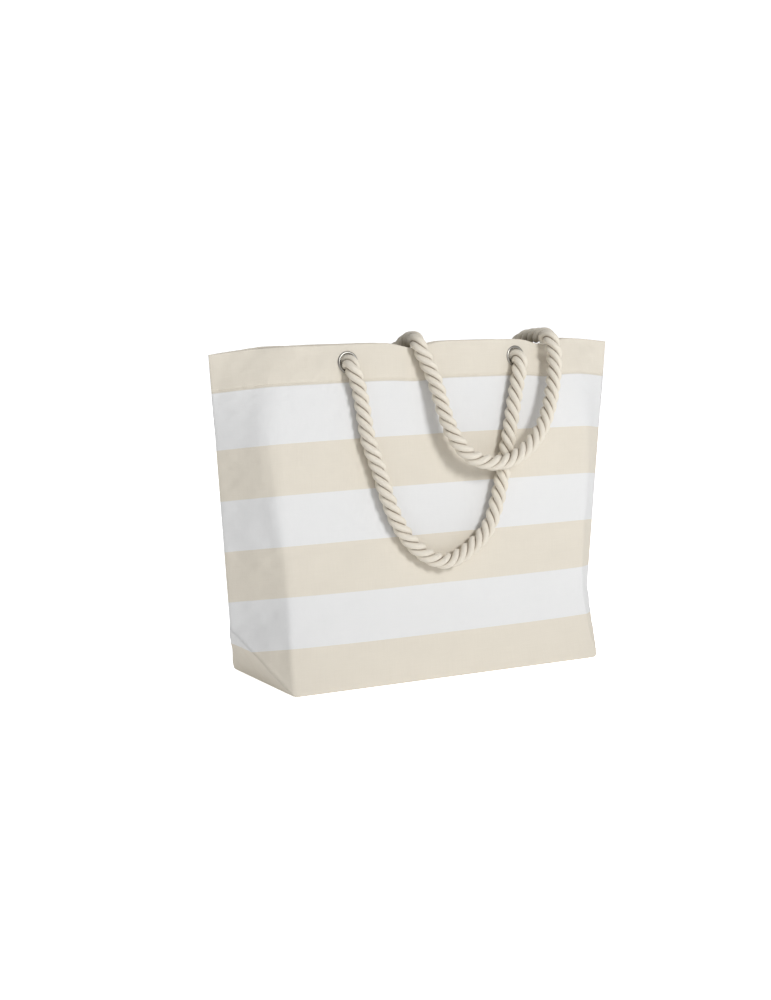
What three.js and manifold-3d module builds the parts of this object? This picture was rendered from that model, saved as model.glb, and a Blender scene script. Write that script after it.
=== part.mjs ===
import * as THREE from "three";
import Module from "manifold-3d";

// Striped canvas beach bag with two rope handles, standing on its base.
// Millimetres, +Z up, origin in the middle of the base on the floor, mouth opening upwards,
// width along X, the front panel on the -Y side.

const wasm = await Module();
wasm.setup();

// Cloth body
const BODY_HEIGHT = 370; // cloth from the base fold to the rim
const BASE_WIDTH = 389;
const BASE_DEPTH = 151.5;
const CLOTH = 1.2; // canvas
const HEM_CLOTH = 2.6; // canvas where the rim is turned in
const HEM_DEPTH = 41;
// How far the rim stands off the side seams, in its middle and where the side folds fade out, how
// far it sags, and where along X and how deep the rear handle presses it down.
const FRONT_RIM = { middle: 31.9, end: 12.4, sag: 0, dips: [-25, 150], dip: 7 };
const REAR_RIM = { middle: 23, end: 9, sag: 2, dips: [-3, 154], dip: 10 };
const CORNER_LEAN = 31.3; // degrees the side's lower triangle leans out
const SEAM_LEAN = 4.1; // degrees the side seam leans out above it
const DIP_WIDE = 22;
const FACE_HOLLOW = 0.3; // how hollow the middle of a face is
const FOLD_SWAY = 3.07; // how much the side folds draw in above the base and stand full higher up
const FOLD_TOP = 53.9; // from the side seam to the fold at the rim; at the base it is half the depth

// Eyelets
const EYELET_FROM_SEAM = 157; // along the cloth
const EYELET_BELOW_RIM = 19.5;
const EYELET_OUTER = 24;
const EYELET_HOLE = 17.4;
const BARREL_WALL = 0.8;
const FLANGE = 1.2;
const WASHER = 0.8;
const CLOTH_BEND = 240; // radius of the cloth that a washer stands clear of
const LIP = 0.6;

// Rope handles
const ROPE = 16;
const ROPE_OFF_CLOTH = 10; // from the cloth to the rope's middle
const ROPE_SIDES = 10;
const KNOT_WIDE = 36;
const KNOT_THICK = 24.6;
const KNOT_HIGH = 34;
const TAIL = 42; // from the knot's middle to the rope's cut end
const REAR_KNOT_DROP = 42; // the rear knots hang slack below their eyelets
const FRONT_SLOPE = 0.12; // forward run of the front handle per mm of drop
const REAR_SLOPE = 0.25;
const REAR_OVER_RIM = [-39.6, 366]; // y and z where the rear handle turns down over the front rim
const GAP = 0.3;

// Routes. The front handle: [x, drop below the eyelets' line].
const FRONT_ROUTE = [
  [-101.6, 22.5],
  [-97.2, 49],
  [-92.2, 86],
  [-82, 116],
  [-72.8, 148.5],
  [-59, 180],
  [-36.4, 206.5],
  [-5.8, 220.3],
  [25.2, 209.6],
  [51.6, 187.8],
  [65.6, 160],
  [74.6, 130.5],
  [84.6, 93.5],
  [94, 57],
  [101.8, 27],
];
// The rear handle in front of the bag: [x, drop below the place where it turns over the rim].
const REAR_ROUTE = [
  [-24.6, 0],
  [-19.6, 13],
  [-11.2, 33],
  [-5.4, 57],
  [0, 82.5],
  [8.2, 103.5],
  [23, 121.8],
  [41.5, 130],
  [60.6, 132.4],
  [80, 128.6],
  [101.6, 116.8],
  [122, 97.8],
  [136, 74],
  [144.6, 51],
  [150, 31],
  [152, 16],
  [151.6, 6],
  [150.2, 0],
];
// The rear handle over the mouth, from the rear eyelets forward: [x, y, z].
const NECK_LEFT = [
  [-97, 35.7, 347.8],
  [-82, 37.4, 347.2],
  [-64, 38.2, 346.8],
  [-46, 38.4, 346.6],
  [-29, 38.1, 347.2],
  [-15, 37, 350.4],
  [-6.2, 32.6, 356.6],
  [-3.2, 24.2, 363.6],
  [-4.6, 12, 367.2],
  [-9.4, -3, 368.4],
  [-16.4, -18, 369.1],
  [-22.4, -30, 369.6],
];
const NECK_RIGHT = [
  [114, 35.7, 347.6],
  [124, 37.6, 347],
  [135, 38.4, 347.2],
  [145, 37.2, 350.2],
  [151.4, 33, 356],
  [153.8, 25, 362.4],
  [153.8, 13, 365.9],
  [153, -3, 367.8],
  [151.6, -18, 369.1],
  [150.5, -30, 369.6],
];

const NATURAL = { color: 0xe4dccd, roughness: 0.95, metalness: 0 };
const COTTON_ROPE = { color: 0xdfd3bf, roughness: 0.95, metalness: 0 };
const NICKEL = { color: 0xa9a69f, roughness: 0.35, metalness: 1 };

const rad = THREE.MathUtils.degToRad;
const halfDepth = BASE_DEPTH / 2;
const halfWidth = BASE_WIDTH / 2;
const clothWidth = BASE_WIDTH + BASE_DEPTH; // one panel, from side seam to side seam
const part = new THREE.Group();

function add(name, geometry, finish) {
  const mesh = new THREE.Mesh(geometry, new THREE.MeshStandardMaterial(finish));
  mesh.name = name;
  part.add(mesh);
}

function toManifold(geometry) {
  const flat = geometry.index ? geometry.toNonIndexed() : geometry;
  const source = flat.getAttribute("position");
  const seen = new Map();
  const points = [];
  const faces = [];
  for (let i = 0; i < source.count; i++) {
    const p = [source.getX(i), source.getY(i), source.getZ(i)];
    const key = p.map((c) => Math.round(c * 1000)).join();
    if (!seen.has(key)) {
      seen.set(key, points.length / 3);
      points.push(...p);
    }
    faces.push(seen.get(key));
  }
  const whole = [];
  for (let i = 0; i < faces.length; i += 3) {
    const [a, b, c] = faces.slice(i, i + 3);
    if (a !== b && b !== c && c !== a) whole.push(a, b, c);
  }
  const mesh = new wasm.Mesh({
    numProp: 3,
    vertProperties: new Float32Array(points),
    triVerts: new Uint32Array(whole),
  });
  return new wasm.Manifold(mesh);
}

function toGeometry(solid) {
  const mesh = solid.getMesh();
  const geometry = new THREE.BufferGeometry();
  const position = new THREE.BufferAttribute(new Float32Array(mesh.vertProperties), 3);
  geometry.setAttribute("position", position);
  geometry.setIndex(new THREE.BufferAttribute(new Uint32Array(mesh.triVerts), 1));
  return geometry;
}

// ---- The cloth surface, by t along the cloth from the left seam and s up from the base fold.

// The side seam, on the left.
function seamAt(s) {
  const low = Math.min(s, halfDepth);
  const high = Math.max(s - halfDepth, 0);
  const out = low * Math.sin(rad(CORNER_LEAN)) + high * Math.sin(rad(SEAM_LEAN));
  const up = low * Math.cos(rad(CORNER_LEAN)) + high * Math.cos(rad(SEAM_LEAN));
  return new THREE.Vector3(-halfWidth - out, 0, up);
}

function heightOf(s, standOff) {
  return s * Math.cos(Math.atan2(halfDepth - standOff, BODY_HEIGHT));
}

// From the side seam to the fold, along the cloth.
function foldFromSeam(s) {
  return THREE.MathUtils.lerp(halfDepth, FOLD_TOP, s / BODY_HEIGHT);
}

// The upright fold between a face and the side, on the left.
function foldAt(s, rim) {
  const v = s / BODY_HEIGHT;
  const y = -halfDepth + (halfDepth - rim.end) * (v + FOLD_SWAY * v * (1 - v) * (0.45 - v));
  const z = heightOf(s, rim.end);
  if (s < halfDepth) {
    const x = THREE.MathUtils.lerp(-halfWidth, foldAt(halfDepth, rim).x, s / halfDepth);
    return new THREE.Vector3(x, y, z);
  }
  const seam = seamAt(s);
  const across = Math.sqrt(foldFromSeam(s) ** 2 - y ** 2 - (z - seam.z) ** 2);
  return new THREE.Vector3(seam.x + across, y, z);
}

// A point between the seam and the fold; below, the side is creased from the base corner up.
function sideAt(t, s, rim) {
  const seam = seamAt(s);
  const fold = foldAt(s, rim);
  const crease = halfDepth - s;
  if (crease <= 0) return seam.lerp(fold, t / foldFromSeam(s));
  const corner = new THREE.Vector3(-halfWidth, -halfDepth, 0);
  const ridge = corner.lerp(seamAt(halfDepth), s / halfDepth);
  if (t <= crease) return seam.lerp(ridge, t / crease);
  return ridge.lerp(fold, (t - crease) / (foldFromSeam(s) - crease));
}

function faceAt(t, s, rim) {
  const v = s / BODY_HEIGHT;
  const fold = foldAt(s, rim);
  const q = (clothWidth / 2 - t) / (clothWidth / 2 - foldFromSeam(s));
  const middle = -halfDepth + (halfDepth - rim.middle) * (v + FACE_HOLLOW * v * (1 - v));
  const y = THREE.MathUtils.lerp(middle, fold.y, Math.abs(q) ** 3);
  const z = THREE.MathUtils.lerp(heightOf(s, rim.middle) - rim.sag * v ** 10, fold.z, q * q);
  return new THREE.Vector3(fold.x * q, y, z);
}

// The outer face of a panel, drawn on the front side; the fold is sharp at the base and fades
// out at the rim.
function plainAt(t, s, rim) {
  if (t > clothWidth / 2) {
    const other = plainAt(clothWidth - t, s, rim);
    other.x *= -1;
    return other;
  }
  const turn = foldFromSeam(s);
  const round = 4 + 44 * (s / BODY_HEIGHT) ** 1.6;
  if (t <= turn - round) return sideAt(t, s, rim);
  if (t >= turn + round) return faceAt(t, s, rim);
  const w = (t - turn + round) / (2 * round);
  const a = sideAt(turn - round, s, rim).multiplyScalar((1 - w) ** 2);
  const b = foldAt(s, rim).multiplyScalar(2 * w * (1 - w));
  const c = faceAt(turn + round, s, rim).multiplyScalar(w * w);
  return a.add(b).add(c);
}

function clothAt(t, s, rim) {
  const p = plainAt(t, s, rim);
  for (const x of rim.dips) {
    p.z -= rim.dip * (s / BODY_HEIGHT) ** 10 * Math.exp(-(((p.x - x) / DIP_WIDE) ** 2));
  }
  return p;
}

function normalAt(t, s, rim) {
  const e = 0.5;
  const lowT = Math.max(t - e, 0);
  const highT = Math.min(t + e, clothWidth);
  const lowS = Math.max(s - e, 0);
  const highS = Math.min(s + e, BODY_HEIGHT);
  const along = clothAt(highT, s, rim).sub(clothAt(lowT, s, rim));
  const up = clothAt(t, highS, rim).sub(clothAt(t, lowS, rim));
  return along.cross(up).normalize();
}

const quarter = halfDepth / 4;
const rows = [0, quarter, 2 * quarter, 3 * quarter, halfDepth];
rows.push(...[19.25, 49.25, 84.25, 124.25, 164.25, 209.25].map((up) => halfDepth + up));
rows.push(BODY_HEIGHT - HEM_DEPTH - 0.6, BODY_HEIGHT - HEM_DEPTH + 0.6);
rows.push(BODY_HEIGHT - EYELET_BELOW_RIM, BODY_HEIGHT);
rows.sort((a, b) => a - b);
const halfColumns = [0, quarter, 2 * quarter, 3 * quarter];
halfColumns.push(...[-8.75, -2.75, 0, 9.25, 21.25, 38.25].map((t) => halfDepth + t));
halfColumns.push(...[-30, -15, 0, 15, 43, 69, 89, 101].map((t) => EYELET_FROM_SEAM + t));
halfColumns.sort((a, b) => a - b);
const columns = [...halfColumns, clothWidth / 2];
columns.push(...halfColumns.map((t) => clothWidth - t).reverse());

// A panel as a closed shell; side is 1 for the front and -1 for the back.
function panel(side, rim) {
  const outer = [];
  const inner = [];
  for (const s of rows) {
    const thick = s > BODY_HEIGHT - HEM_DEPTH ? HEM_CLOTH : CLOTH;
    for (const t of columns) {
      const p = clothAt(t, s, rim);
      const q = p.clone().addScaledVector(normalAt(t, s, rim), -thick);
      if (s === 0 || s === BODY_HEIGHT) q.z = p.z;
      if (t === 0) q.set(p.x + thick * 1.3, 0, p.z);
      if (t === clothWidth) q.set(p.x - thick * 1.3, 0, p.z);
      p.y = Math.min(p.y, -GAP / 2);
      q.y = Math.min(q.y, -GAP / 2);
      outer.push(p.x, side * p.y, p.z);
      inner.push(q.x, side * q.y, q.z);
    }
  }
  const n = columns.length;
  const m = rows.length;
  const shift = n * m;
  const faces = [];
  const face = (a, b, c) => faces.push(...(side > 0 ? [a, b, c] : [a, c, b]));
  const quad = (a, b, c, d) => {
    face(a, b, c);
    face(a, c, d);
  };
  for (let j = 0; j < m - 1; j++) {
    for (let i = 0; i < n - 1; i++) {
      const a = j * n + i;
      const [b, c, d] = [a + 1, a + 1 + n, a + n];
      const o = [a, b, c, d].map((k) => k + shift);
      if (i < n / 2 - 1) {
        quad(b, c, d, a);
        quad(o[0], o[3], o[2], o[1]);
        continue;
      }
      quad(a, b, c, d);
      quad(o[0], o[3], o[2], o[1]);
    }
  }
  for (let i = 0; i < n - 1; i++) {
    quad(i + 1, i, i + shift, i + 1 + shift);
    const k = (m - 1) * n + i;
    quad(k, k + 1, k + 1 + shift, k + shift);
  }
  for (let j = 0; j < m - 1; j++) {
    const k = j * n;
    quad(k, k + n, k + n + shift, k + shift);
    const l = k + n - 1;
    quad(l + n, l, l + shift, l + n + shift);
  }
  const geometry = new THREE.BufferGeometry();
  const position = new THREE.BufferAttribute(new Float32Array([...outer, ...inner]), 3);
  geometry.setAttribute("position", position);
  geometry.setIndex(faces);
  return geometry;
}

// ---- Eyelets: each has its frame on the cloth, with the local Y axis pointing out of the bag.

const places = {
  front_left: { t: EYELET_FROM_SEAM, side: 1, rim: FRONT_RIM },
  front_right: { t: clothWidth - EYELET_FROM_SEAM, side: 1, rim: FRONT_RIM },
  rear_left: { t: EYELET_FROM_SEAM, side: -1, rim: REAR_RIM },
  rear_right: { t: clothWidth - EYELET_FROM_SEAM, side: -1, rim: REAR_RIM },
};
for (const place of Object.values(places)) {
  const s = BODY_HEIGHT - EYELET_BELOW_RIM;
  place.at = clothAt(place.t, s, place.rim);
  place.out = normalAt(place.t, s, place.rim);
  place.at.y *= place.side;
  place.out.y *= place.side;
  place.turn = new THREE.Quaternion().setFromUnitVectors(new THREE.Vector3(0, 1, 0), place.out);
}

function putAt(place, geometry) {
  return geometry.applyQuaternion(place.turn).translate(place.at.x, place.at.y, place.at.z);
}

function along(place, distance) {
  return place.at.clone().addScaledVector(place.out, distance);
}

function ring(profile) {
  const points = [...profile, profile[0]].map(([r, h]) => new THREE.Vector2(r, h));
  return new THREE.LatheGeometry(points, 20);
}

const hole = EYELET_HOLE / 2;
const barrel = hole + BARREL_WALL;
const washerGap = (EYELET_OUTER / 2) ** 2 / (2 * CLOTH_BEND);
const washerBack = -HEM_CLOTH - washerGap - WASHER;
const lipFront = washerBack - GAP;
const lipBack = lipFront - LIP;

function eyelet() {
  return ring([
    [hole, lipBack],
    [barrel + 1.1, lipBack],
    [barrel + 1.1, lipFront],
    [barrel, lipFront],
    [barrel, GAP],
    [EYELET_OUTER / 2, GAP],
    [EYELET_OUTER / 2, GAP + FLANGE / 2],
    [EYELET_OUTER / 2 - 1.4, GAP + FLANGE],
    [hole, GAP + FLANGE],
  ]);
}

function washer() {
  return ring([
    [barrel + GAP, washerBack],
    [EYELET_OUTER / 2, washerBack],
    [EYELET_OUTER / 2, washerBack + WASHER],
    [barrel + GAP, washerBack + WASHER],
  ]);
}

// ---- Rope

function tube(points, steps) {
  const section = [];
  for (let i = 0; i < ROPE_SIDES; i++) {
    const a = (2 * Math.PI * i) / ROPE_SIDES;
    section.push(new THREE.Vector2((ROPE / 2) * Math.cos(a), (ROPE / 2) * Math.sin(a)));
  }
  const extrudePath = new THREE.CatmullRomCurve3(points, false, "centripetal");
  return new THREE.ExtrudeGeometry(new THREE.Shape(section), { steps, extrudePath, curveSegments: 1 });
}

// A rope whose marked ends are round, so that it can turn in front of its neighbour.
function rope(points, steps, roundStart, roundEnd) {
  let solid = toManifold(tube(points, steps));
  const ends = [];
  if (roundStart) ends.push(points[0]);
  if (roundEnd) ends.push(points[points.length - 1]);
  for (const end of ends) {
    const ball = new THREE.SphereGeometry(ROPE / 2, 12, 8).translate(end.x, end.y, end.z);
    solid = solid.add(toManifold(ball));
  }
  return toGeometry(solid);
}

// The rope through an eyelet: straight into the front knots, and bent down to the slack rear ones.
function stub(place) {
  const to = ROPE_OFF_CLOTH - ROPE / 2 - GAP;
  if (place.side > 0) {
    const rod = new THREE.CylinderGeometry(ROPE / 2, ROPE / 2, to - lipBack, 16);
    return putAt(place, rod.translate(0, (lipBack + to) / 2, 0));
  }
  const down = (distance, drop) => along(place, distance).add(new THREE.Vector3(0, 0, -drop));
  const inside = lipBack - 1 - ROPE / 2;
  const points = [
    down(to, 0),
    down(lipBack / 2, 0),
    down(lipBack - 0.6, 0),
    down(lipBack - 5.5, 2),
    down(inside, 9.5),
    down(inside, 17),
    down(inside, REAR_KNOT_DROP - KNOT_HIGH / 2 - GAP),
  ];
  return tube(points, 12);
}

// The overhand knot that holds the rope end inside the bag, with its cut end hanging down.
function knot(place) {
  const slack = place.side > 0 ? 0 : REAR_KNOT_DROP;
  const ball = new THREE.SphereGeometry(1, 16, 10).scale(KNOT_WIDE / 2, KNOT_THICK / 2, KNOT_HIGH / 2);
  const middle = lipBack - GAP - KNOT_THICK / 2;
  putAt(place, ball.translate(0, middle, 0)).translate(0, 0, -slack);
  const top = along(place, middle).add(new THREE.Vector3(0, 0, -slack));
  const end = top.clone().add(new THREE.Vector3(Math.sign(place.at.x) * -6, 0, -TAIL));
  const tail = tube([top, end], 1);
  return toGeometry(toManifold(ball).add(toManifold(tail)));
}

// ---- Assembly

for (const [name, side, rim] of [
  ["front_panel", 1, FRONT_RIM],
  ["back_panel", -1, REAR_RIM],
]) {
  let solid = toManifold(panel(side, rim));
  for (const place of Object.values(places)) {
    if (place.side !== side) continue;
    const drill = new THREE.CylinderGeometry(barrel + GAP, barrel + GAP, 12, 20);
    solid = solid.subtract(toManifold(putAt(place, drill)));
  }
  add(name, toGeometry(solid), NATURAL);
}

const inset = CLOTH + 1.8;
const floor = new THREE.BoxGeometry(BASE_WIDTH - 2 * inset, BASE_DEPTH - 2 * inset, CLOTH);
add("base_panel", floor.translate(0, 0, CLOTH / 2), NATURAL);

for (const [name, place] of Object.entries(places)) {
  add("eyelet_" + name, putAt(place, eyelet()), NICKEL);
  add("washer_" + name, putAt(place, washer()), NICKEL);
  add("rope_stub_" + name, stub(place), COTTON_ROPE);
  add("rope_knot_" + name, knot(place), COTTON_ROPE);
}

const leftTurn = along(places.front_left, ROPE_OFF_CLOTH);
const rightTurn = along(places.front_right, ROPE_OFF_CLOTH);
const frontLoop = FRONT_ROUTE.map(
  ([x, drop]) => new THREE.Vector3(x, leftTurn.y - FRONT_SLOPE * drop, leftTurn.z - drop),
);
add("front_handle_loop", rope([leftTurn, ...frontLoop, rightTurn], 48, true, true), COTTON_ROPE);

const [rimY, rimZ] = REAR_OVER_RIM;
const rearLoop = REAR_ROUTE.map(
  ([x, drop]) => new THREE.Vector3(x, rimY - REAR_SLOPE * drop, rimZ - drop),
);
add("rear_handle_loop", rope(rearLoop, 40, true, true), COTTON_ROPE);

for (const [name, route] of [
  ["left", NECK_LEFT],
  ["right", NECK_RIGHT],
]) {
  const points = route.map((p) => new THREE.Vector3(...p));
  const start = along(places["rear_" + name], ROPE_OFF_CLOTH);
  add("rear_handle_neck_" + name, rope([start, ...points], 14, true, false), COTTON_ROPE);
}

export default part;
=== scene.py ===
# A striped canvas beach bag with rope handles. Metres, +Z up, the front towards -Y.
import math
from collections import namedtuple

import bmesh
import bpy
import numpy as np
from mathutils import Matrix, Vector


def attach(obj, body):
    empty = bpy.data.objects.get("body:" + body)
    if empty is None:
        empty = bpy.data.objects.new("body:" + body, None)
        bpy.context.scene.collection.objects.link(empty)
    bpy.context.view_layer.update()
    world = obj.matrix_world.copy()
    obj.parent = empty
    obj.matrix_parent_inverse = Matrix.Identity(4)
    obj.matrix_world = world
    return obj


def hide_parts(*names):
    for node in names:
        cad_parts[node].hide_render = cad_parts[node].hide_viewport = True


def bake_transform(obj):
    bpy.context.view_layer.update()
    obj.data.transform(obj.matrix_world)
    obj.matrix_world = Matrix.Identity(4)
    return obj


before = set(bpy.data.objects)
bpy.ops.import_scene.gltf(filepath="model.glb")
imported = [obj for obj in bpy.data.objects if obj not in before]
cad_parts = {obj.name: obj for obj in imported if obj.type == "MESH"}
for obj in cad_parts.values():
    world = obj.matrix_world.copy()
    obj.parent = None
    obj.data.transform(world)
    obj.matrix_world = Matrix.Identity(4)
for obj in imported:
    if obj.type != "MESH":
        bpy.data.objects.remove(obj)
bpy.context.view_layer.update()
scene = bpy.context.scene

# ---------------------------------------------------------------- camera

camera = bpy.data.objects.new("camera", bpy.data.cameras.new("camera"))
scene.collection.objects.link(camera)
camera.location = (-1.0542, -1.7861, 0.4826)
camera.rotation_euler = (math.radians(90 - 8.10), 0, math.radians(-29.53))
camera.data.sensor_fit = "HORIZONTAL"
camera.data.sensor_width = 36
camera.data.lens = 87.13
camera.data.dof.use_dof = False
scene.camera = camera

# ---------------------------------------------------------------- the cloth's surface, in mm

HEIGHT = 370.0
BASE_WIDTH = 389.0
BASE_DEPTH = 151.5
PANEL = BASE_WIDTH + BASE_DEPTH
HEM = 41.0
FIRST_STRIPE = 49.7
STRIPE = 54.7
# How far the rim stands from the middle plane at its middle and its ends, how far it sags,
# where the rear handle presses it down and how deep.
Rim = namedtuple("Rim", "middle end sag dips dip")
FRONT_RIM = Rim(31.9, 12.4, 0.0, (-25.0, 150.0), 7.0)
REAR_RIM = Rim(23.0, 9.0, 2.0, (-3.0, 154.0), 10.0)
DIP_WIDE = 22.0
EYELET_T = 157.0
EYELET_S = HEIGHT - 19.5
HALF_D = BASE_DEPTH / 2
HALF_W = BASE_WIDTH / 2


def seam_at(s):
    """The left side seam, for s up the cloth."""
    low = np.minimum(s, HALF_D)
    high = np.maximum(s - HALF_D, 0)
    a, b = math.radians(31.3), math.radians(4.1)
    out = low * math.sin(a) + high * math.sin(b)
    up = low * math.cos(a) + high * math.cos(b)
    return np.stack([-HALF_W - out, 0 * s, up], -1)


def height_of(s, off):
    """How high a face is at s when its rim stands off the middle plane."""
    return s * math.cos(math.atan2(HALF_D - off, HEIGHT))


def turn_of(s):
    """How far from the seam, along the cloth, the side folds round to the face."""
    return HALF_D - (HALF_D - 53.9) * s / HEIGHT


def fold_at(s, rim):
    """The left side fold, drawn in above the base and fuller higher up."""
    v = s / HEIGHT
    y = -HALF_D + (HALF_D - rim.end) * (v + 3.07 * v * (1 - v) * (0.45 - v))
    z = height_of(s, rim.end)
    seam = seam_at(s)
    x = seam[..., 0] + np.sqrt(np.maximum(turn_of(s) ** 2 - y**2 - (z - seam[..., 2]) ** 2, 0))
    if np.any(s < HALF_D):
        level = fold_at(np.full_like(s, HALF_D), rim)[..., 0]
        x = np.where(s < HALF_D, -HALF_W + (level + HALF_W) * s / HALF_D, x)
    return np.stack([x, y, z], -1)


def side_at(t, s, rim):
    """The left gusset, with the boxed corner below."""
    seam, fold = seam_at(s), fold_at(s, rim)
    crease = HALF_D - s
    turn = turn_of(s)
    corner = np.array([-HALF_W, -HALF_D, 0.0])
    apex = seam_at(np.full_like(s, HALF_D))
    ridge = corner + (apex - corner) * (s / HALF_D)[..., None]
    plain = seam + (fold - seam) * (t / turn)[..., None]
    inner = seam + (ridge - seam) * (t / np.maximum(crease, 1e-6))[..., None]
    outer = ridge + (fold - ridge) * ((t - crease) / np.maximum(turn - crease, 1e-6))[..., None]
    low = np.where((t <= crease)[..., None], inner, outer)
    return np.where((crease <= 0)[..., None], plain, low)


def face_at(t, s, rim):
    """The broad face between the side folds."""
    v = s / HEIGHT
    fold = fold_at(s, rim)
    q = (PANEL / 2 - t) / (PANEL / 2 - turn_of(s))
    middle = -HALF_D + (HALF_D - rim.middle) * (v + 0.3 * v * (1 - v))
    mid_z = height_of(s, rim.middle) - rim.sag * v**10
    y = middle + (fold[..., 1] - middle) * np.abs(q) ** 3
    z = mid_z + (fold[..., 2] - mid_z) * q * q
    return np.stack([fold[..., 0] * q, y, z], -1)


def panel_at(t, s, rim):
    """The panel on the front side, for t along the cloth and s from 0 at the base fold."""
    far = t > PANEL / 2
    t = np.where(far, PANEL - t, t)
    turn = turn_of(s)
    r = 3 + 22 * (s / HEIGHT) ** 1.6
    w = np.clip((t - turn + r) / (2 * r), 0, 1)[..., None]
    a = side_at(np.minimum(t, turn - r), s, rim)
    c = face_at(np.maximum(t, turn + r), s, rim)
    b = fold_at(s, rim)
    a0 = side_at(turn - r, s, rim)
    c0 = face_at(turn + r, s, rim)
    bend = a0 * (1 - w) ** 2 + b * 2 * w * (1 - w) + c0 * w * w
    p = np.where(w <= 0, a, np.where(w >= 1, c, bend))
    p[..., 0] = np.where(far, -p[..., 0], p[..., 0])
    for x in rim.dips:
        dip = np.exp(-(((p[..., 0] - x) / DIP_WIDE) ** 2))
        p[..., 2] -= rim.dip * (np.clip(s, 0, HEIGHT) / HEIGHT) ** 10 * dip
    return p


def shell_at(t, s, rim):
    """The same, turned under the base where s is below 0, round a small radius."""
    r = 3.5

    def under(depth):
        p = panel_at(t, np.zeros_like(s), rim)
        p[..., 0] *= (HALF_W - depth) / HALF_W
        p[..., 1] *= (HALF_D - depth) / HALF_D
        return p

    w = np.clip((s + r) / (2 * r), 0, 1)[..., None]
    up = panel_at(t, np.maximum(s, r), rim)
    edge = panel_at(t, np.zeros_like(s), rim)
    low = under(np.maximum(-s, r))
    bend = under(np.full_like(s, r)) * (1 - w) ** 2 + edge * 2 * w * (1 - w)
    bend = bend + panel_at(t, np.full_like(s, r), rim) * w * w
    return np.where(w <= 0, low, np.where(w >= 1, up, bend))


def normal_of(t, s, rim):
    """The way out of the cloth."""
    e = 0.6
    t0, t1 = np.maximum(t - e, 0), np.minimum(t + e, PANEL)
    s0, s1 = s - e, np.minimum(s + e, HEIGHT)
    along = shell_at(t1, s, rim) - shell_at(t0, s, rim)
    up = shell_at(t, s1, rim) - shell_at(t, s0, rim)
    n = np.cross(along, up)
    return n / np.maximum(np.linalg.norm(n, axis=-1, keepdims=True), 1e-9)


def waves(t, s, length, seed, count=14):
    """Smooth noise of about -1 to 1, with waves of about that length in mm."""
    own = np.random.default_rng(seed)
    total = np.zeros(np.broadcast(t, s).shape)
    for _ in range(count):
        a = own.uniform(0, 2 * math.pi)
        k = 2 * math.pi / length * own.uniform(0.7, 1.4)
        total += np.sin(k * (math.cos(a) * t + math.sin(a) * s) + own.uniform(0, 6.28))
    return total / math.sqrt(count)


def bump(x, at, width):
    return np.exp(-(((x - at) / width) ** 2))


def wrinkles(t, s, seed):
    """How far the cloth stands out of its plain shape, in mm."""
    near = np.minimum(t, PANEL - t)
    turn = turn_of(np.clip(s, 0, HEIGHT))
    side = np.clip((turn + 6 - near) / 22, 0, 1)
    face = 1 - side
    top = np.clip((s - 300) / 60, 0, 1)
    low = np.clip((90 - s) / 90, 0, 1)
    hold = np.clip(near / 14, 0, 1) * np.clip((s + 2) / 26, 0, 1)
    d = 0.75 * waves(t, s, 120, seed) * face
    d += 0.38 * waves(t, s, 46, seed + 1) * (0.45 + 0.45 * side + 0.5 * top)
    d += 0.20 * waves(t, s, 19, seed + 2) * (0.5 + 0.35 * side + 0.5 * top)
    d += 0.07 * waves(t, s, 8, seed + 3, 20)
    creases = -np.abs(waves(t + 0.4 * s, s, 62, seed + 4)) ** 0.8
    d += 0.55 * creases * (0.6 * side + 0.5 * top * face + 0.25 * low)
    d += -1.5 * bump(near, 112, 22) * bump(s, 356, 15) * (1 + 0.5 * waves(t, s, 24, seed + 5))
    d += 0.9 * bump(near, 88, 14) * bump(s, 344, 20)
    d += -0.9 * side * bump(near - 0.6 * (s - 215), 26, 13) * bump(s, 226, 22)
    pull = np.hypot(near - EYELET_T, s - EYELET_S)
    d *= 1 - 0.9 * np.exp(-((pull / 20) ** 2))
    return d * hold


def relief(t, s, seed):
    """Wrinkles with the corner crease, the side fold, the hem step and its pucker."""
    near = np.minimum(t, PANEL - t)
    d = wrinkles(t, s, seed)
    crease = (near - (HALF_D - s)) / math.sqrt(2)
    d += 0.85 * np.exp(-((crease / 2.6) ** 2)) * np.clip(s / 12, 0, 1) * (s < HALF_D + 6)
    fold = (near - turn_of(np.clip(s, 0, HEIGHT))) / 3.2
    d += 0.35 * np.exp(-(fold**2)) * np.clip(s / 20, 0, 1) * np.clip((300 - s) / 60, 0, 1)
    step = 1 / (1 + np.exp(-(s - (HEIGHT - HEM + 0.7)) / 0.45))
    d += 0.5 * step
    row = HEIGHT - HEM + 2.4
    pucker = 0.5 + 0.5 * np.sin(near * 2 * math.pi / 3.2)
    d -= (0.34 + 0.12 * pucker) * np.exp(-(((s - row) / 0.9) ** 2))
    d += 0.16 * np.sin(near * 2 * math.pi / 11 + 2 * waves(t, s, 60, seed + 8)) * bump(s, row, 9)
    d -= 0.5 * np.clip(1 - near / 3.4, 0, 1) ** 2 * (s > 1)
    return d


def cloth_at(t, s, rim, side, seed, inward=0.0):
    """Points of one panel in metres; inward is how deep in the cloth, in mm."""
    t, s = np.asarray(t, float), np.asarray(s, float)
    out = relief(t, s, seed) - inward
    p = shell_at(t, s, rim) + normal_of(t, s, rim) * out[..., None]
    p[..., 1] = np.minimum(p[..., 1], -0.03)
    p[..., 2] = np.maximum(p[..., 2], 0.0)
    p[..., 1] *= side
    return p / 1000


# ---------------------------------------------------------------- mesh helpers


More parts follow.
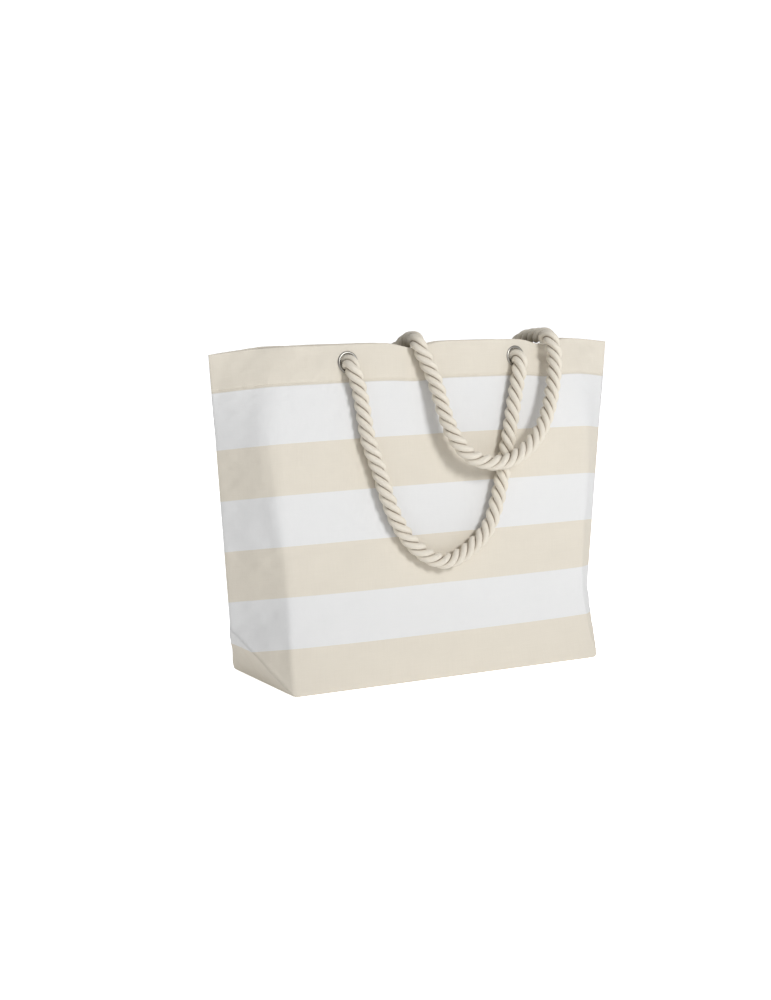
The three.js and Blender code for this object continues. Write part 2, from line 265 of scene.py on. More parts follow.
def make(name, verts, faces, uvs=None, uv_name="cloth"):
    mesh = bpy.data.meshes.new(name)
    mesh.from_pydata(np.asarray(verts).tolist(), [], [tuple(int(i) for i in f) for f in faces])
    mesh.update()
    if uvs is not None:
        layer = mesh.uv_layers.new(name=uv_name)
        index = np.empty(len(mesh.loops), np.int32)
        mesh.loops.foreach_get("vertex_index", index)
        layer.data.foreach_set("uv", np.asarray(uvs, np.float32)[index].ravel())
    mesh.polygons.foreach_set("use_smooth", [True] * len(mesh.polygons))
    obj = bpy.data.objects.new(name, mesh)
    scene.collection.objects.link(obj)
    return obj


# ---------------------------------------------------------------- rope

LAY = 38.5  # length of one turn of a strand
ROPE_OFF_CLOTH = 10.0
STRAND_OFF = 4.25  # from the middle of the rope to the middle of a strand
STRAND = 4.45
FRONT_SLOPE = 0.12
REAR_SLOPE = 0.25
OVER_RIM = (-39.6, 366.0)  # y and z where the rear handle turns down over the front rim


def catmull(points, per=24):
    p = np.asarray(points, float)
    p = np.vstack([2 * p[0] - p[1], p, 2 * p[-1] - p[-2]])
    out = []
    for i in range(1, len(p) - 2):
        a, b, c, d = p[i - 1 : i + 3]
        t = [0.0]
        for x, y in ((a, b), (b, c), (c, d)):
            t.append(t[-1] + max(np.linalg.norm(y - x), 1e-6) ** 0.5)
        for u in np.linspace(t[1], t[2], per, endpoint=False):
            a1 = (t[1] - u) / (t[1] - t[0]) * a + (u - t[0]) / (t[1] - t[0]) * b
            a2 = (t[2] - u) / (t[2] - t[1]) * b + (u - t[1]) / (t[2] - t[1]) * c
            a3 = (t[3] - u) / (t[3] - t[2]) * c + (u - t[2]) / (t[3] - t[2]) * d
            b1 = (t[2] - u) / (t[2] - t[0]) * a1 + (u - t[0]) / (t[2] - t[0]) * a2
            b2 = (t[3] - u) / (t[3] - t[1]) * a2 + (u - t[1]) / (t[3] - t[1]) * a3
            out.append((t[2] - u) / (t[2] - t[1]) * b1 + (u - t[1]) / (t[2] - t[1]) * b2)
    out.append(p[-2])
    return np.array(out)


def resample(line, step):
    """The same line in equal steps."""
    d = np.r_[0, np.cumsum(np.linalg.norm(np.diff(line, axis=0), axis=1))]
    n = max(int(round(d[-1] / step)), 2)
    at = np.linspace(0, d[-1], n + 1)
    return np.stack([np.interp(at, d, line[:, k]) for k in range(3)], 1)


def smooth_line(points, step=1.25, rounds=60):
    line = resample(catmull(points), step)
    for _ in range(rounds):
        line[1:-1] += 0.5 * (0.5 * (line[:-2] + line[2:]) - line[1:-1])
    return resample(line, step)


def frames(line, start=None):
    """Tangents and two turned-along directions across a line."""
    tangent = np.gradient(line, axis=0)
    tangent /= np.linalg.norm(tangent, axis=1, keepdims=True)
    side = np.array([1.0, 0, 0]) if start is None else np.asarray(start, float)
    sides = np.empty_like(line)
    for i, d in enumerate(tangent):
        side = side - d * (side @ d)
        side /= np.linalg.norm(side)
        sides[i] = side
    return tangent, sides, np.cross(tangent, sides)


def lobe(count):
    """Angles round one strand, as far as it touches the next."""
    a = np.linspace(0, math.pi, 4000)
    x = STRAND_OFF + STRAND * np.cos(a)
    y = STRAND * 1.02 * np.sin(a)
    end = a[np.argmax(np.arctan2(y, x) >= math.pi / 3)]
    return np.linspace(-end, end, count, endpoint=False) + end / count


def rope_rings(line, along, sides, ups, scale, seed, around=30, lay=LAY):
    """Points and UVs of a three-strand rope along the line; along is the length so far."""
    own = np.random.default_rng(seed)
    phases = own.uniform(0, 6.28, (3, 6))
    angle = lobe(around)
    limit = angle[-1]
    turn = -2 * math.pi * along / lay + 0.12 * np.sin(along / 31 + phases[0, 0])
    points, uvs = [], []
    for k in range(3):
        swell = 1 + 0.018 * np.sin(along / 17 + phases[k, 1]) + 0.012 * np.sin(along / 7.3 + phases[k, 2])
        phase = 12 * (angle[None, :] + 1.55 * turn[:, None])
        yarn = 0.34 * (np.abs(np.cos(phase / 2)) - 0.64) * np.clip((limit * 1.06 - np.abs(angle)) * 2, 0, 1)
        fuzz = 0.05 * np.sin(along[:, None] * 1.9 + 5 * angle[None, :] + phases[k, 3])
        r = STRAND * swell[:, None] + yarn + fuzz
        x = (STRAND_OFF + r * np.cos(angle)) * scale
        y = (1.02 * r * np.sin(angle)) * scale
        c = np.cos(turn + k * 2 * math.pi / 3)[:, None]
        n = np.sin(turn + k * 2 * math.pi / 3)[:, None]
        u, v = x * c - y * n, x * n + y * c
        points.append(line[:, None] + u[..., None] * sides[:, None] + v[..., None] * ups[:, None])
        uvs.append(np.stack(np.broadcast_arrays(0.5 + angle / (2 * limit) + k, along[:, None] / 100), -1))
    return np.concatenate(points, 1), np.concatenate(uvs, 1)


def skin(rings, uvs):
    """Faces over rings of points, closed at both ends."""
    n, m = rings.shape[:2]
    points, coords = rings.reshape(-1, 3), uvs.reshape(-1, 2)
    faces = []
    for i in range(n - 1):
        a, b = i * m, (i + 1) * m
        faces += [(a + j, a + (j + 1) % m, b + (j + 1) % m, b + j) for j in range(m)]
    for end in (0, n - 1):
        middle = len(points)
        points = np.vstack([points, rings[end].mean(0)])
        coords = np.vstack([coords, [[0.5, uvs[end, 0, 1]]]])
        ring = [end * m + j for j in range(m)]
        for j in range(m):
            pair = (ring[(j + 1) % m], ring[j]) if end == 0 else (ring[j], ring[(j + 1) % m])
            faces.append((middle, *pair))
    return points, faces, coords


def rope_piece(name, line, along, sides, ups, seed):
    rings, uvs = rope_rings(line, along, sides, ups, 1.0, seed)
    points, faces, coords = skin(rings, uvs)
    return make(name, points / 1000, faces, coords, "rope")


def eyelet_frame(side, right):
    """Where the eyelet is on the cloth, and the way out of the bag, in mm."""
    rim = FRONT_RIM if side > 0 else REAR_RIM
    t = np.array([PANEL - EYELET_T if right else EYELET_T])
    s = np.array([EYELET_S])
    at, out = shell_at(t, s, rim)[0], normal_of(t, s, rim)[0]
    at[1] *= side
    out[1] *= side
    return at, out


def through_front(right):
    at, out = eyelet_frame(1, right)
    return [at - out * 14, at - out * 9, at - out * 4, at + out * 2, at + out * 6.5]


# The front handle: x, and the drop below the line of its eyelets.
FRONT_DROP = [
    (-101.6, 22.5), (-97.2, 49), (-92.2, 86), (-82, 116), (-72.8, 148.5), (-59, 180),
    (-36.4, 206.5), (-5.8, 220.3), (25.2, 209.6), (51.6, 187.8), (65.6, 160), (74.6, 130.5),
    (84.6, 93.5), (94, 57), (101.8, 27),
]
# The rear handle in front of the bag: x, and the drop below where it turns over the rim.
REAR_DROP = [
    (-24.6, 0), (-19.6, 13), (-11.2, 33), (-5.4, 57), (0, 82.5), (8.2, 103.5), (23, 121.8),
    (41.5, 130), (60.6, 132.4), (80, 128.6), (101.6, 116.8), (122, 97.8), (136, 74),
    (144.6, 51), (150, 31), (152, 16), (151.6, 6), (150.2, 0),
]
# The rear handle from its eyelets forward over the mouth: x, y and z.
NECK_LEFT = [
    (-97, 35.7, 347.8), (-82, 37.4, 347.2), (-64, 38.2, 346.8), (-46, 38.4, 346.6),
    (-29, 38.1, 347.2), (-15, 37, 350.4), (-6.2, 32.6, 356.6), (-3.2, 24.2, 363.6),
    (-4.6, 12, 367.2), (-9.4, -3, 368.4), (-16.4, -18, 369.1), (-22.4, -30, 369.6),
]
NECK_RIGHT = [
    (114, 35.7, 347.6), (124, 37.6, 347), (135, 38.4, 347.2), (145, 37.2, 350.2),
    (151.4, 33, 356), (153.8, 25, 362.4), (153.8, 13, 365.9), (153, -3, 367.8),
    (151.6, -18, 369.1), (150.5, -30, 369.6),
]

left_eyelet, left_out = eyelet_frame(1, False)
pivot = left_eyelet + ROPE_OFF_CLOTH * left_out
front_points = through_front(False)
front_points.append(pivot + np.array([0.3, -0.5, -6.0]))
front_points += [np.array([x, pivot[1] - FRONT_SLOPE * d, pivot[2] - d]) for x, d in FRONT_DROP]
front_points.append(np.array([-pivot[0] - 0.3, pivot[1] - 0.5, pivot[2] - 6.0]))
front_points += through_front(True)[::-1]
front_line = smooth_line(front_points, rounds=30)


def through_rear(right):
    at, out = eyelet_frame(-1, right)
    x = 1 if right else -1
    down = [(-15, 26), (-14, 18), (-12.5, 10.5), (-8, 3.5), (-3, 0.8), (3, 0), (7.5, 0.5)]
    return [at + out * a + np.array([-0.1 * x, 0, -b]) for a, b in down]


rear_points = through_rear(False) + [np.array(p, float) for p in NECK_LEFT]
rear_points += [np.array([x, OVER_RIM[0] - REAR_SLOPE * d, OVER_RIM[1] - d]) for x, d in REAR_DROP]
rear_points += [np.array(p, float) for p in NECK_RIGHT[::-1]] + through_rear(True)[::-1]
rear_line = smooth_line(rear_points, rounds=30)


def length_along(line):
    """The length so far at each point."""
    return np.r_[0, np.cumsum(np.linalg.norm(np.diff(line, axis=0), axis=1))]


front_along = length_along(front_line)
_, front_sides, front_ups = frames(front_line)
front_rope = rope_piece("front_handle_rope", front_line, front_along, front_sides, front_ups, 3)

rear_along = length_along(rear_line)
_, rear_sides, rear_ups = frames(rear_line)
over = np.where((rear_line[:, 2] > 362) & (np.abs(rear_line[:, 1]) < 8))[0]
left_cut = int(over[over < len(rear_line) / 2].mean())
right_cut = int(over[over > len(rear_line) / 2].mean())
spans = {
    "rear_handle_rope_left": (0, left_cut + 1),
    "rear_handle_rope_loop": (left_cut, right_cut + 1),
    "rear_handle_rope_right": (right_cut, len(rear_line)),
}
rear_ropes = {}
for name, (a, b) in spans.items():
    cut = slice(a, b)
    rear_ropes[name] = rope_piece(
        name, rear_line[cut], rear_along[cut], rear_sides[cut], rear_ups[cut], 5
    )

# ---------------------------------------------------------------- knots inside the bag


def knot_piece(name, start, heading, tail_turn, seed):
    """An overhand knot on the rope that comes in at start along heading, its tail hanging."""
    heading = heading / np.linalg.norm(heading)
    down = np.array([0, 0, -1.0]) if abs(heading[2]) < 0.7 else np.array([0, -1.0, 0])
    right = np.cross(down, heading)
    right /= np.linalg.norm(right)
    down = np.cross(heading, right)
    big, small = 8.6, 5.2
    loop = []
    for a in np.linspace(0.30, 2 * math.pi - 0.18, 30):
        r = big + small * math.cos(3 * a)
        loop.append(
            start
            + heading * (11.5 - small * 1.05 * math.sin(3 * a))
            + right * r * math.cos(2 * a + tail_turn)
            + down * r * math.sin(2 * a + tail_turn)
        )
    lead = [start - heading * 3, start + heading * 1.5]
    side = loop[-1] - start - heading * (heading @ (loop[-1] - start))
    hang = np.array([0, 0, -1.0])
    tail = [loop[-1] + side * 0.25 + hang * 9]
    tail += [tail[0] + side * 0.10 + hang * 12, tail[0] + side * 0.12 + hang * 25]
    line = smooth_line(lead + loop + tail, 1.5, 6)
    along = length_along(line)
    _, sides, ups = frames(line, right)
    rings, uvs = rope_rings(line, along, sides, ups, 0.80, seed, 22, 30.0)
    points, faces, coords = skin(rings, uvs)
    return make(name, points / 1000, faces, coords, "rope")


knots = {}
for side, place in ((1, "front"), (-1, "rear")):
    for right in (False, True):
        at, out = eyelet_frame(side, right)
        word = place + ("_right" if right else "_left")
        if side > 0:
            start, heading = at - out * 8.5, -out
        else:
            start, heading = at - out * 15 + np.array([0, 0, -24.0]), np.array([0, 0, -1.0])
        knots[word] = knot_piece("knot_" + word, start, heading, 0.9 + 0.5 * right, 20 + side + right)

# ---------------------------------------------------------------- cloth pieces


def rows_of():
    """Where the cloth grid has its rows, close together at the base fold, hem and rim."""
    s = list(np.arange(-9, 12, 1.0)) + list(np.arange(12, 318, 2.6))
    s += list(np.arange(318, 332, 0.55)) + list(np.arange(332, 367.5, 2.2))
    s += [368.2, 368.7, 369.1, 369.45, 369.75, 369.93, 370.0]
    return np.unique(np.round(s, 3))


def columns_of():
    """Where it has its columns, close together at the seams."""
    near = [0, 0.5, 1.1, 1.8, 2.7, 3.8, 5.2] + list(np.arange(7, PANEL / 2, 2.6))
    near = np.array([x for x in near if x < PANEL / 2 - 1.2])
    return np.unique(np.round(np.r_[near, PANEL / 2, PANEL - near], 3))


def thick_panel(name, rim, side, seed):
    """One cloth panel with a hole for each eyelet and a thicker hem."""
    rows, cols = rows_of(), columns_of()
    s, t = np.meshgrid(rows, cols, indexing="ij")
    hole = 9.9
    for centre in (EYELET_T, PANEL - EYELET_T):
        dt, ds = t - centre, s - EYELET_S
        far = np.hypot(dt, ds)
        move = (far > hole - 1.4) & (far < hole)
        t = np.where(move, centre + dt / np.maximum(far, 1e-6) * hole, t)
        s = np.where(move, EYELET_S + ds / np.maximum(far, 1e-6) * hole, s)
    thick = 0.95 + 1.15 / (1 + np.exp(-(s - (HEIGHT - HEM + 0.7)) / 0.5))
    half = thick / 2
    e = np.clip((s - (HEIGHT - half)) / half, 0, 1)
    shy = half * (1 - np.sqrt(np.maximum(1 - e**2, 0)))
    outer = cloth_at(t, s, rim, side, seed, shy)
    inner = cloth_at(t, s, rim, side, seed, thick - shy)
    n, m = s.shape
    mid_t = (t[:-1, :-1] + t[1:, 1:]) / 2
    mid_s = (s[:-1, :-1] + s[1:, 1:]) / 2
    kept = np.ones(mid_t.shape, bool)
    for centre in (EYELET_T, PANEL - EYELET_T):
        kept &= np.hypot(mid_t - centre, mid_s - EYELET_S) > hole - 0.4
    count = n * m
    faces = []

    def add(a, b, c, d):
        faces.append((a, b, c, d) if side > 0 else (d, c, b, a))

    for i, j in zip(*np.where(kept)):
        a = int(i) * m + int(j)
        b, c, d = a + 1, a + m + 1, a + m
        add(a, b, c, d)
        add(a + count, d + count, c + count, b + count)
        if j == 0 or not kept[i, j - 1]:
            add(d, d + count, a + count, a)
        if j == m - 2 or not kept[i, j + 1]:
            add(b, b + count, c + count, c)
        if i == 0 or not kept[i - 1, j]:
            add(a, a + count, b + count, b)
        if i == n - 2 or not kept[i + 1, j]:
            add(c, c + count, d + count, d)
    points = np.concatenate([outer.reshape(-1, 3), inner.reshape(-1, 3)])
    uv = np.stack([t / PANEL, s / HEIGHT], -1).reshape(-1, 2)
    obj = make(name, points, faces, np.concatenate([uv, uv]))
    work = bmesh.new()
    work.from_mesh(obj.data)
    bmesh.ops.delete(work, geom=[v for v in work.verts if not v.link_faces], context="VERTS")
    work.to_mesh(obj.data)
    work.free()
    return obj


front_cloth = thick_panel("cloth_front", FRONT_RIM, 1, 40)
back_cloth = thick_panel("cloth_back", REAR_RIM, -1, 70)


def base_cloth():
    xs = np.linspace(-HALF_W + 2.4, HALF_W - 2.4, 140)
    ys = np.linspace(-HALF_D + 2.4, HALF_D - 2.4, 60)
    y, x = np.meshgrid(ys, xs, indexing="ij")
    edge = np.minimum(HALF_W - 2.4 - np.abs(x), HALF_D - 2.4 - np.abs(y))
    lift = 1.15 + 0.35 * (1 + waves(x, y, 60, 91)) * np.clip((edge - 8) / 30, 0, 1)
    n, m = x.shape
    low = np.stack([x, y, np.maximum(lift, 1.05)], -1).reshape(-1, 3)
    high = low + np.array([0, 0, 0.95])
    count = n * m
    faces = []
    for i in range(n - 1):
        for j in range(m - 1):
            a = i * m + j
            b, c, d = a + 1, a + m + 1, a + m
            faces.append((a, d, c, b))
            faces.append((a + count, b + count, c + count, d + count))
            if i == 0:
                faces.append((a, b, b + count, a + count))
            if i == n - 2:
                faces.append((c, d, d + count, c + count))
            if j == 0:
                faces.append((d, a, a + count, d + count))
            if j == m - 2:
                faces.append((b, c, c + count, b + count))
    uv = np.stack([(x + HALF_W) / PANEL, 0.02 + 0.10 * (y + HALF_D) / BASE_DEPTH], -1).reshape(-1, 2)
    return make("cloth_base", np.concatenate([low, high]) / 1000, faces, np.concatenate([uv, uv]))


base = base_cloth()


STITCH = 3.2
THREAD = 0.264


def stitching(name, ts, ss, rim, side, seed):
    """A row of stitches along the points (ts, ss) of a panel."""
    line = np.stack([ts, ss], 1)
    d = length_along(np.c_[line, 0 * ts])
    starts = np.arange(0.6, d[-1] - STITCH, STITCH)
    rings = 5
    around = 6
    share = np.linspace(0, 1, rings)
    at = starts[:, None] + share[None, :] * STITCH * 0.80
    t = np.interp(at, d, line[:, 0])
    s = np.interp(at, d, line[:, 1])
    middle = cloth_at(t, s, rim, side, seed) * 1000
    n = normal_of(t, s, rim)
    n[..., 1] *= side
    arch = np.sin(share * math.pi)
    middle = middle + n * (0.05 + 0.20 * arch[None, :, None])
    tangent = np.gradient(middle, axis=1)
    tangent /= np.linalg.norm(tangent, axis=-1, keepdims=True)
    across = np.cross(n, tangent)
    radius = THREAD * (0.45 + 0.55 * arch)
    points = []
    for k in range(around):
        a = 2 * math.pi * k / around
        points.append(middle + radius[None, :, None] * (math.cos(a) * n + math.sin(a) * across))
    points = np.stack(points, 2)
    count = len(starts)
    faces = []
    for i in range(count):
        base_i = i * rings * around
        for r in range(rings - 1):
            a, b = base_i + r * around, base_i + (r + 1) * around
            faces += [(a + k, b + k, b + (k + 1) % around, a + (k + 1) % around) for k in range(around)]
        faces.append(tuple(base_i + k for k in range(around)))
        last = base_i + (rings - 1) * around
        faces.append(tuple(last + k for k in range(around))[::-1])
    return make(name, points.reshape(-1, 3) / 1000, faces)


stitch_rows = []
row_t = np.linspace(4, PANEL - 4, 400)
for word, rim, side, seed in (("front", FRONT_RIM, 1, 40), ("back", REAR_RIM, -1, 70)):
    level = np.full_like(row_t, HEIGHT - HEM + 2.4)
    stitch_rows.append(stitching("hem_stitches_" + word, row_t, level, rim, side, seed))

# ---------------------------------------------------------------- eyelets


def ring_piece(name, profile, place, out, segments=72):
    """A ring turned from a closed profile of (radius, height) about the way out."""
    points, n = [], len(profile)
    helper = np.array([1.0, 0, 0])
    a = helper - out * (helper @ out)
    a /= np.linalg.norm(a)
    b = np.cross(out, a)
    for k in range(segments):
        g = 2 * math.pi * k / segments
        spoke = math.cos(g) * a + math.sin(g) * b
        points += [place + spoke * r + out * h for r, h in profile]
    faces = []
    for k in range(segments):
        for j in range(n):
            i0, i1 = k * n + j, k * n + (j + 1) % n
            k0, k1 = ((k + 1) % segments) * n + j, ((k + 1) % segments) * n + (j + 1) % n
            faces.append((i0, i1, k1, k0))
    return make(name, np.array(points) / 1000, faces)


def arc(cx, cy, rx, ry, a0, a1, n):
    return [
        (cx + rx * math.cos(math.radians(a)), cy + ry * math.sin(math.radians(a)))
        for a in np.linspace(a0, a1, n)
    ]


metal = []
for side, place in ((1, "front"), (-1, "rear")):
    for right in (False, True):
        at, out = eyelet_frame(side, right)
        word = place + ("_right" if right else "_left")
        flange = arc(10.35, 0.55, 1.60, 1.25, 180, 8, 12) + [(11.95, 0.55), (11.6, 0.45), (9.5, 0.45)]
        lip = [(9.5, -2.75), (10.6, -3.35), (10.4, -3.75), (9.2, -3.7)] + [(8.7, -3.2)]
        metal.append(ring_piece("eyelet_ring_" + word, (flange + lip)[::-1], at, out))
        back = [(9.7, -2.65), (9.7, -3.1), (10.4, -3.45), (11.6, -3.2), (12.2, -2.8), (12.1, -2.65)]
        metal.append(ring_piece("washer_ring_" + word, back, at, out))

# ---------------------------------------------------------------- materials


class Nodes:
    """Short names for building a node tree."""

    def __init__(self, name):
        self.material = bpy.data.materials.new(name)
        self.material.use_nodes = True
        self.tree = self.material.node_tree
        self.tree.nodes.clear()
        self.out = self.new("ShaderNodeOutputMaterial")
        self.shader = self.new("ShaderNodeBsdfPrincipled")
        self.link(self.shader.outputs[0], self.out.inputs["Surface"])

    def new(self, kind, **options):
        node = self.tree.nodes.new(kind)
        for key, value in options.items():
            setattr(node, key, value)
        return node

    def link(self, a, b):
        self.tree.links.new(a, b)

    def math(self, operation, a, b=None, c=None, clamp=False):
        node = self.new("ShaderNodeMath", operation=operation, use_clamp=clamp)
        for slot, value in enumerate((a, b, c)):
            if value is None:
                continue
            if isinstance(value, (int, float)):
                node.inputs[slot].default_value = value
            else:
                self.link(value, node.inputs[slot])
        return node.outputs[0]

    def uv(self, name, scale):
        node = self.new("ShaderNodeUVMap", uv_map=name)
        mapping = self.new("ShaderNodeMapping")
        mapping.inputs["Scale"].default_value = (scale[0], scale[1], 1)
        self.link(node.outputs[0], mapping.inputs[0])
        return mapping.outputs[0]

    def split(self, vector):
        node = self.new("ShaderNodeSeparateXYZ")
        self.link(vector, node.inputs[0])
        return node.outputs[0], node.outputs[1]

    def noise(self, vector, scale, detail=2.0, roughness=0.5):
        node = self.new("ShaderNodeTexNoise", noise_dimensions="3D")
        node.inputs["Scale"].default_value = scale
        node.inputs["Detail"].default_value = detail
        node.inputs["Roughness"].default_value = roughness
        self.link(vector, node.inputs["Vector"])
        return node.outputs["Fac"]

    def mix(self, factor, a, b, blend="MIX"):
        node = self.new("ShaderNodeMix", data_type="RGBA", blend_type=blend)
        for key, value in ((0, factor), (6, a), (7, b)):
            if isinstance(value, tuple):
                node.inputs[key].default_value = (*value, 1)
            elif isinstance(value, (int, float)):
                node.inputs[key].default_value = value
            else:
                self.link(value, node.inputs[key])
        return node.outputs[2]

    def bump(self, height, strength, distance, normal=None):
        node = self.new("ShaderNodeBump")
        node.inputs["Strength"].default_value = strength
        node.inputs["Distance"].default_value = distance
        self.link(height, node.inputs["Height"])
        if normal is not None:
            self.link(normal, node.inputs["Normal"])
        return node.outputs[0]


def canvas_material():
    n = Nodes("canvas")
    mm = n.uv("cloth", (PANEL, HEIGHT))
    t, s = n.split(mm)
    ragged = n.noise(n.uv("cloth", (PANEL * 1.6, HEIGHT * 0.3)), 1.0, 2.0)
    level = n.math("ADD", s, n.math("MULTIPLY", n.math("SUBTRACT", ragged, 0.5), 0.7))
    wave = n.math("FRACT", n.math("DIVIDE", n.math("SUBTRACT", level, FIRST_STRIPE), 2 * STRIPE))
    stripe = n.math("LESS_THAN", wave, 0.5)
    wider = n.math("GREATER_THAN", level, HEIGHT - HEM - 20)
    stripe = n.math("MAXIMUM", stripe, wider)
    stripe = n.math("MULTIPLY", stripe, n.math("LESS_THAN", level, HEIGHT - HEM))
    weft = n.noise(n.uv("cloth", (PANEL / 30, HEIGHT / 0.9)), 1.0, 3.0, 0.6)
    warp = n.noise(n.uv("cloth", (PANEL / 0.9, HEIGHT / 30)), 1.0, 3.0, 0.6)
    cloudy = n.noise(n.uv("cloth", (PANEL / 80, HEIGHT / 50)), 1.0, 3.0, 0.5)
    patchy = n.noise(n.uv("cloth", (PANEL / 26, HEIGHT / 20)), 1.0, 2.0, 0.5)
    threads = n.math("MULTIPLY", n.math("ADD", weft, warp), 0.5)
    natural = n.mix(threads, (0.700, 0.650, 0.553), (0.843, 0.792, 0.700))
    natural = n.mix(n.math("MULTIPLY", cloudy, 0.45), natural, (0.725, 0.672, 0.580))
    natural = n.mix(n.math("MULTIPLY", patchy, 0.30), natural, (0.672, 0.622, 0.540))
    white = n.mix(threads, (0.762, 0.765, 0.767), (0.813, 0.815, 0.815))
    fleck = n.noise(n.uv("cloth", (PANEL / 1.3, HEIGHT / 1.3)), 1.0, 1.0)
    fleck = n.math("MULTIPLY", n.math("GREATER_THAN", fleck, 0.775), 0.16)
    natural = n.mix(fleck, natural, (0.45, 0.37, 0.26))
    colour = n.mix(stripe, natural, white)
    # Painted shadow: a thin dark line along the hem's lower edge, under the step where the hem stands
    # proud.
    edge = n.math("ABSOLUTE", n.math("SUBTRACT", s, HEIGHT - HEM + 0.4))
    edge = n.math("MULTIPLY", n.math("LESS_THAN", edge, 1.0), 0.22)
    colour = n.mix(edge, colour, (0.42, 0.38, 0.32))
    n.link(colour, n.shader.inputs["Base Color"])
    across = n.math("SINE", n.math("MULTIPLY", t, 2 * math.pi / 0.95))
    upward = n.math("SINE", n.math("MULTIPLY", s, 2 * math.pi / 0.95))
    weave = n.math("MULTIPLY", n.math("MULTIPLY", across, upward), 0.4)
    slubs = n.math("MULTIPLY_ADD", threads, 2.0, weave)
    first = n.bump(slubs, 0.22, 0.00018)
    crumple = n.noise(n.uv("cloth", (PANEL / 16, HEIGHT / 16)), 1.0, 3.0, 0.5)
    n.link(n.bump(crumple, 0.22, 0.0010, first), n.shader.inputs["Normal"])
    rough = n.math("MULTIPLY_ADD", threads, 0.16, 0.80)
    n.link(rough, n.shader.inputs["Roughness"])
    n.shader.inputs["Sheen Weight"].default_value = 0.06
    n.shader.inputs["Sheen Roughness"].default_value = 0.5
    n.shader.inputs["Specular IOR Level"].default_value = 0.2
    return n.material


def rope_material():
    n = Nodes("rope")
    u, v = n.split(n.uv("rope", (1, 1)))
    side = n.math("ABSOLUTE", n.math("MULTIPLY_ADD", n.math("FRACT", u), 2.0, -1.0))
    # Painted shade: each strand is coloured darker towards its edges, in the grooves between strands.
    painted_groove_shade = n.math("POWER", side, 9.0, clamp=True)
    yarn = n.noise(n.uv("rope", (26, 9)), 1.0, 3.0, 0.6)
    lint = n.noise(n.uv("rope", (60, 55)), 1.0, 2.0, 0.6)
    tone = n.math("MULTIPLY", n.math("ADD", yarn, lint), 0.5)
    colour = n.mix(tone, (0.700, 0.635, 0.530), (0.985, 0.935, 0.835))
    colour = n.mix(painted_groove_shade, colour, (0.230, 0.175, 0.125))
    n.link(colour, n.shader.inputs["Base Color"])
    n.link(n.bump(tone, 0.6, 0.0007), n.shader.inputs["Normal"])
    n.link(n.math("MULTIPLY_ADD", tone, 0.2, 0.74), n.shader.inputs["Roughness"])
    n.shader.inputs["Sheen Weight"].default_value = 0.12
    n.shader.inputs["Sheen Roughness"].default_value = 0.5
    n.shader.inputs["Specular IOR Level"].default_value = 0.25
    return n.material


def metal_material():
    n = Nodes("nickel")
    place = n.new("ShaderNodeTexCoord").outputs["Object"]
    fine = n.noise(place, 900.0, 3.0, 0.6)
    broad = n.noise(place, 120.0, 2.0)
    n.link(n.mix(broad, (0.30, 0.285, 0.26), (0.44, 0.425, 0.395)), n.shader.inputs["Base Color"])
    n.shader.inputs["Metallic"].default_value = 1.0
    n.link(n.math("MULTIPLY_ADD", fine, 0.22, 0.24), n.shader.inputs["Roughness"])
    n.link(n.bump(fine, 0.15, 0.0001), n.shader.inputs["Normal"])
    return n.material


def thread_material():
    n = Nodes("thread")
    place = n.new("ShaderNodeTexCoord").outputs["Object"]
    fine = n.noise(place, 2200.0, 2.0)
    n.link(n.mix(fine, (0.66, 0.60, 0.50), (0.86, 0.81, 0.72)), n.shader.inputs["Base Color"])
    n.link(n.math("MULTIPLY_ADD", fine, 0.2, 0.6), n.shader.inputs["Roughness"])
    n.shader.inputs["Sheen Weight"].default_value = 0.2
    return n.material


canvas, rope_look, nickel, thread = canvas_material(), rope_material(), metal_material(), thread_material()


def dress(piece, material):
    piece.data.materials.clear()
    piece.data.materials.append(material)


for piece in (front_cloth, back_cloth, base):
    dress(piece, canvas)
for piece in stitch_rows:
    dress(piece, thread)
for piece in metal:
    dress(piece, nickel)
for piece in [front_rope, *rear_ropes.values(), *knots.values()]:
    dress(piece, rope_look)

# ---------------------------------------------------------------- what moves with what

for piece in [front_cloth, back_cloth, base, *stitch_rows, *metal, *knots.values()]:
    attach(piece, "bag")
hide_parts("front_panel")
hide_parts("back_panel")
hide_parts("base_panel")
for piece in metal:
    node = piece.name.replace("_ring", "")
    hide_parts(node)
for word, piece in knots.items():
    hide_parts("rope_knot_" + word)

METRES = 1 / 1000
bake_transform(front_rope)
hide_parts("front_handle_loop", "rope_stub_front_left", "rope_stub_front_right")
for word, x in (("left", -0.106), ("right", 0.106)):
    piece = rear_ropes["rear_handle_rope_" + word]
    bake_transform(piece)
    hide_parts("rear_handle_neck_" + word, "rope_stub_rear_" + word)
loop = rear_ropes["rear_handle_rope_loop"]
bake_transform(loop)
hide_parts("rear_handle_loop")

for name, (a, b) in spans.items():
    word = name.rsplit("_", 1)[1]
    line = rear_line[a:b] * METRES
    if word == "right":
        line = line[::-1]

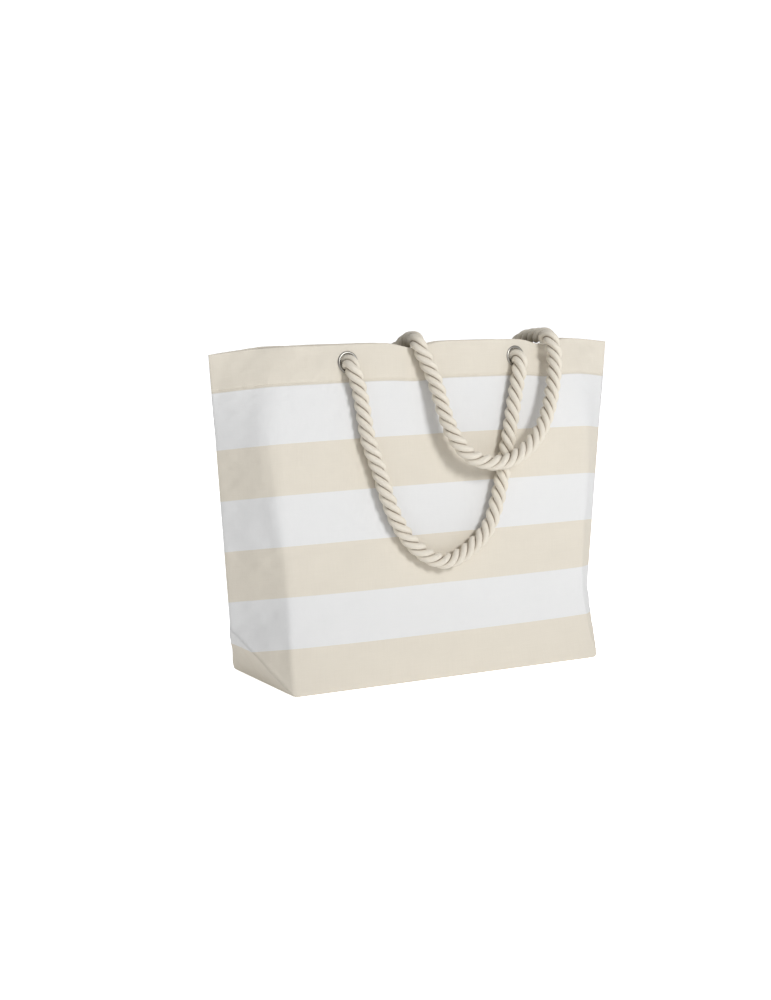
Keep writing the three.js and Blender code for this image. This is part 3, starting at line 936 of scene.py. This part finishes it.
# ---------------------------------------------------------------- floor and light


def floor_material():
    n = Nodes("floor")
    place = n.new("ShaderNodeTexCoord").outputs["Object"]
    grain = n.noise(place, 40.0, 2.0)
    n.link(n.mix(grain, (0.93, 0.93, 0.93), (0.95, 0.95, 0.95)), n.shader.inputs["Base Color"])
    n.shader.inputs["Roughness"].default_value = 0.9
    n.shader.inputs["Specular IOR Level"].default_value = 0.1
    n.shader.inputs["Emission Color"].default_value = (1, 1, 1, 1)
    rays = n.new("ShaderNodeLightPath")
    glow = n.math("MULTIPLY_ADD", rays.outputs["Is Camera Ray"], 0.65, 0.25)
    n.link(glow, n.shader.inputs["Emission Strength"])
    return n.material


bpy.ops.mesh.primitive_plane_add(size=60, location=(0, 0, -0.0002))
floor = bpy.context.object
floor.name = "floor"
floor.data.materials.append(floor_material())

world = bpy.data.worlds.new("studio")
scene.world = world
world.use_nodes = True
world.node_tree.nodes["Background"].inputs[0].default_value = (1, 1, 1, 1)
rays = world.node_tree.nodes.new("ShaderNodeLightPath")
strength = world.node_tree.nodes.new("ShaderNodeMapRange")
strength.inputs["To Min"].default_value = 0.30
strength.inputs["To Max"].default_value = 1.3
world.node_tree.links.new(rays.outputs["Is Camera Ray"], strength.inputs["Value"])
world.node_tree.links.new(strength.outputs[0], world.node_tree.nodes["Background"].inputs[1])


def softbox(name, place, aim, size, power):
    data = bpy.data.lights.new(name, "AREA")
    data.shape = "RECTANGLE"
    data.size, data.size_y = size
    data.energy = power
    lamp = bpy.data.objects.new(name, data)
    scene.collection.objects.link(lamp)
    lamp.location = place
    lamp.rotation_euler = (Vector(aim) - Vector(place)).to_track_quat("-Z", "Y").to_euler()
    return lamp


softbox("key", (0.5, -2.6, 1.5), (0.0, 0.0, 0.15), (0.8, 0.8), 44)
softbox("fill", (0.6, 2.6, 1.6), (0.0, 0.0, 0.15), (1.6, 1.2), 34)

scene.view_settings.view_transform = "Standard"
scene.view_settings.look = "None"
scene.view_settings.exposure = 0
scene.view_settings.gamma = 1
